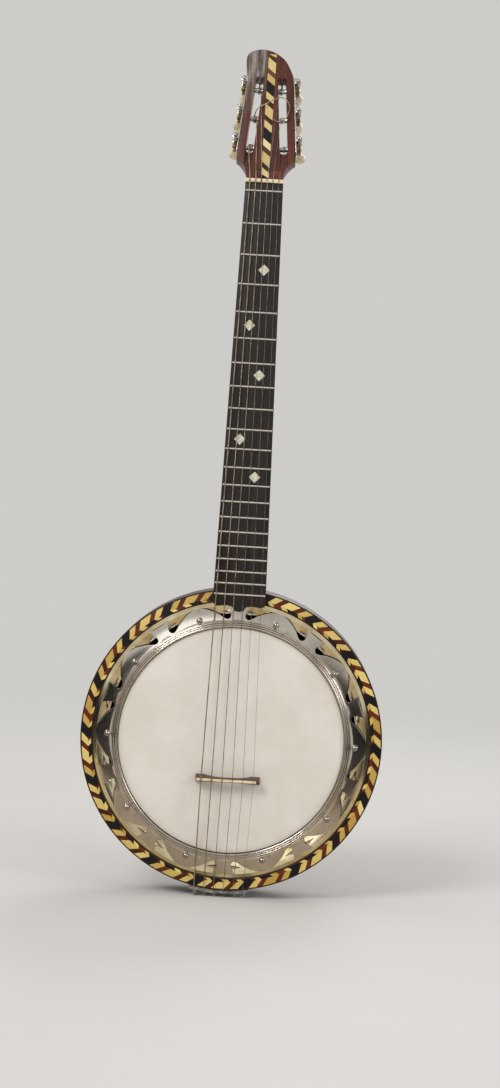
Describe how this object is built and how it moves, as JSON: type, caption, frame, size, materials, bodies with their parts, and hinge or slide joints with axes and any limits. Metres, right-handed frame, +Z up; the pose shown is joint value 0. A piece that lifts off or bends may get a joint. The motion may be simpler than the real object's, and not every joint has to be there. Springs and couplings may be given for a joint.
{
  "type": "six-string banjo",
  "caption": "Long-necked banjo strung like a guitar: round skin head in a wooden resonator, scalloped metal tension plate, marquetry trim, slotted headstock with geared tuners.",
  "frame": {"origin": "the lowest point of the resonator's rim, on the centre plane, 35 mm behind the rim's front face", "axes": "+Z up the neck, -Y out of the head towards the player's hand, +X to the right as the strings are seen"},
  "size_m": [0.339, 0.13, 0.961],
  "materials": {
    "resonator_wood": "polished",
    "neck_wood": "polished",
    "inner_wood": "satin",
    "marquetry": "polished",
    "ebony": "satin",
    "bone": "satin",
    "button_plastic": "polished",
    "head_skin": "matte",
    "nickel_plate": "polished",
    "pale_brass": "polished",
    "steel": "polished",
    "string_steel": "satin",
    "cast_metal": "matte"
  },
  "bodies": {
    "root": {"resonator_back": "resonator_wood", "resonator_rim": "resonator_wood", "marquetry_band": "marquetry", "headstock_inlay": "marquetry", "under_ring": "pale_brass", "pot_shell": "inner_wood", "dowel_stick": "inner_wood", "tone_ring": "pale_brass", "flesh_hoop": "steel", "head": "head_skin", "tension_plate": "nickel_plate", "lug_ring": "cast_metal", "neck": "neck_wood", "headstock": "neck_wood", "fingerboard": "ebony", "nut": "bone", "bridge": "ebony", "bridge_saddle": "bone", "tailpiece": "nickel_plate", "tailpiece_screw": "steel", "tuner_plate_left": "nickel_plate", "tuner_plate_right": "nickel_plate", "tension_bolt_01": "nickel_plate", "tension_bolt_02": "nickel_plate", "tension_bolt_03": "nickel_plate", "tension_bolt_04": "nickel_plate", "tension_bolt_05": "nickel_plate", "tension_bolt_06": "nickel_plate", "tension_bolt_07": "nickel_plate", "tension_bolt_08": "nickel_plate", "tension_bolt_09": "nickel_plate", "tension_bolt_10": "nickel_plate", "string_1": "string_steel", "string_2": "string_steel", "string_3": "string_steel", "string_4": "string_steel", "string_5": "string_steel", "string_6": "string_steel"},
    "tuner_left_1": {"worm_shaft_left_1": "steel", "button_left_1": "button_plastic"},
    "post_left_1": {"string_post_left_1": "steel"},
    "tuner_left_2": {"worm_shaft_left_2": "steel", "button_left_2": "button_plastic"},
    "post_left_2": {"string_post_left_2": "steel"},
    "tuner_left_3": {"worm_shaft_left_3": "steel", "button_left_3": "button_plastic"},
    "post_left_3": {"string_post_left_3": "steel"},
    "tuner_right_1": {"worm_shaft_right_1": "steel", "button_right_1": "button_plastic"},
    "post_right_1": {"string_post_right_1": "steel"},
    "tuner_right_2": {"worm_shaft_right_2": "steel", "button_right_2": "button_plastic"},
    "post_right_2": {"string_post_right_2": "steel"},
    "tuner_right_3": {"worm_shaft_right_3": "steel", "button_right_3": "button_plastic"},
    "post_right_3": {"string_post_right_3": "steel"}
  },
  "joints": [
    {"name": "tuner_left_1_turn", "type": "hinge", "parent": "root", "child": "tuner_left_1", "pos_m": [-0.03611, 0.0027, 0.84656], "axis": [0, -0.9397, 0.342], "continuous": true},
    {"name": "post_left_1_turn", "type": "hinge", "parent": "root", "child": "post_left_1", "pos_m": [-0.03189, -0.00084, 0.83683], "axis": [-0.9971, 0.0262, 0.072], "continuous": true},
    {"name": "tuner_left_2_turn", "type": "hinge", "parent": "root", "child": "tuner_left_2", "pos_m": [-0.0333, 0.01519, 0.88085], "axis": [0, -0.9397, 0.342], "continuous": true},
    {"name": "post_left_2_turn", "type": "hinge", "parent": "root", "child": "post_left_2", "pos_m": [-0.02909, 0.01165, 0.87113], "axis": [-0.9971, 0.0262, 0.072], "continuous": true},
    {"name": "tuner_left_3_turn", "type": "hinge", "parent": "root", "child": "tuner_left_3", "pos_m": [-0.0305, 0.02767, 0.91515], "axis": [0, -0.9397, 0.342], "continuous": true},
    {"name": "post_left_3_turn", "type": "hinge", "parent": "root", "child": "post_left_3", "pos_m": [-0.02628, 0.02413, 0.90542], "axis": [-0.9971, 0.0262, 0.072], "continuous": true},
    {"name": "tuner_right_1_turn", "type": "hinge", "parent": "root", "child": "tuner_right_1", "pos_m": [0.03611, 0.0027, 0.84656], "axis": [0, -0.9397, 0.342], "continuous": true},
    {"name": "post_right_1_turn", "type": "hinge", "parent": "root", "child": "post_right_1", "pos_m": [0.03189, -0.00084, 0.83683], "axis": [0.9971, 0.0262, 0.072], "continuous": true},
    {"name": "tuner_right_2_turn", "type": "hinge", "parent": "root", "child": "tuner_right_2", "pos_m": [0.0333, 0.01519, 0.88085], "axis": [0, -0.9397, 0.342], "continuous": true},
    {"name": "post_right_2_turn", "type": "hinge", "parent": "root", "child": "post_right_2", "pos_m": [0.02909, 0.01165, 0.87113], "axis": [0.9971, 0.0262, 0.072], "continuous": true},
    {"name": "tuner_right_3_turn", "type": "hinge", "parent": "root", "child": "tuner_right_3", "pos_m": [0.0305, 0.02767, 0.91515], "axis": [0, -0.9397, 0.342], "continuous": true},
    {"name": "post_right_3_turn", "type": "hinge", "parent": "root", "child": "post_right_3", "pos_m": [0.02628, 0.02413, 0.90542], "axis": [0.9971, 0.0262, 0.072], "continuous": true}
  ],
  "couplings": [
    {"joint": "post_left_1_turn", "follows": "tuner_left_1_turn", "ratio": 0.071429},
    {"joint": "post_left_2_turn", "follows": "tuner_left_2_turn", "ratio": 0.071429},
    {"joint": "post_left_3_turn", "follows": "tuner_left_3_turn", "ratio": 0.071429},
    {"joint": "post_right_1_turn", "follows": "tuner_right_1_turn", "ratio": -0.071429},
    {"joint": "post_right_2_turn", "follows": "tuner_right_2_turn", "ratio": -0.071429},
    {"joint": "post_right_3_turn", "follows": "tuner_right_3_turn", "ratio": -0.071429}
  ]
}
